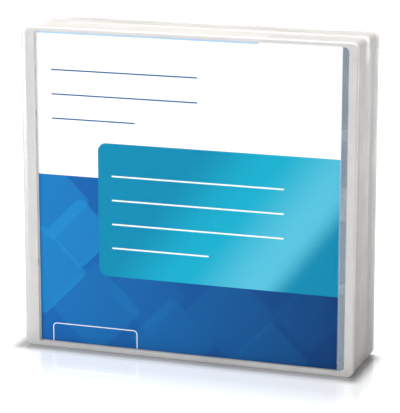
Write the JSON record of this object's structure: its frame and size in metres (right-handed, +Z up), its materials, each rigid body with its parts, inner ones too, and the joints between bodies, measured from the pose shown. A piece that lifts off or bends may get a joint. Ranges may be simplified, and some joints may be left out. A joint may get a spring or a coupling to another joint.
{
  "type": "data tape cartridge",
  "caption": "Square single-reel data tape cartridge standing in a translucent hinged library case with a printed card behind its front.",
  "frame": {"origin": "middle of the case's bounding box at its foot", "axes": "+X to the right seen from the front, +Y from the front panel to the back, +Z up"},
  "size_m": [0.117, 0.0276, 0.1112],
  "materials": {
    "frosted_case": "translucent frosted polypropylene",
    "frosted_case_back": "translucent frosted polypropylene",
    "printed_card": "coated printed card, white on the back",
    "cartridge_plastic": "fine-grained moulded polycarbonate",
    "screw_steel": "zinc plated",
    "slide_plastic": "smooth moulded",
    "door_plastic": "smooth moulded",
    "spring_steel": "bright wire",
    "pin_steel": "ground",
    "clip_plastic": "smooth moulded",
    "tape_film": "wound film edge",
    "reel_plastic": "smooth moulded",
    "flange_plastic": "smooth moulded",
    "washer_steel": "stamped",
    "brake_plastic": "smooth moulded",
    "spider_plastic": "smooth moulded",
    "chip_plastic": "potted chip carrier"
  },
  "bodies": {
    "base": {"case_back_shell": "frosted_case_back", "cartridge_upper_shell": "cartridge_plastic", "cartridge_lower_shell": "cartridge_plastic", "shell_screws": "screw_steel", "leader_pin": "pin_steel", "pin_spring": "spring_steel", "tape_clip": "clip_plastic", "tape_end": "tape_film", "memory_chip": "chip_plastic", "door_spring": "spring_steel", "brake_spring": "spring_steel"},
    "lid": {"case_front_shell": "frosted_case", "insert_card": "printed_card"},
    "door": {"leader_door": "door_plastic"},
    "write_protect": {"write_protect_slide": "slide_plastic"},
    "reel": {"reel_hub": "reel_plastic", "reel_upper_flange": "flange_plastic", "hub_washer": "washer_steel", "tape_pack": "tape_film"},
    "brake": {"brake_plate": "brake_plastic"},
    "spider": {"release_spider": "spider_plastic"}
  },
  "joints": [
    {"name": "lid_hinge", "type": "hinge", "parent": "base", "child": "lid", "pos_m": [-0.0549, 0.0102, 0.0556], "axis": [0, 0, -1], "range_deg": [0, 180]},
    {"name": "door_slide", "type": "slide", "parent": "base", "child": "door", "axis": [0, 0, 1], "range_m": [0, 0.0135], "stiffness_N_per_m": 40, "springref_m": -0.008, "deforming": ["door_spring"]},
    {"name": "write_protect_slide", "type": "slide", "parent": "base", "child": "write_protect", "axis": [1, 0, 0], "range_m": [0, 0.005]},
    {"name": "reel_spin", "type": "hinge", "parent": "base", "child": "reel", "pos_m": [0.00385, 0, 0.0552], "axis": [0, 1, 0], "continuous": true},
    {"name": "brake_slide", "type": "slide", "parent": "base", "child": "brake", "axis": [0, 1, 0], "range_m": [0, 0.00145]},
    {"name": "spider_slide", "type": "slide", "parent": "reel", "child": "spider", "axis": [0, 1, 0], "range_m": [0, 0.00145]}
  ],
  "couplings": [
    {"joint": "spider_slide", "follows": "brake_slide", "ratio": 1}
  ]
}
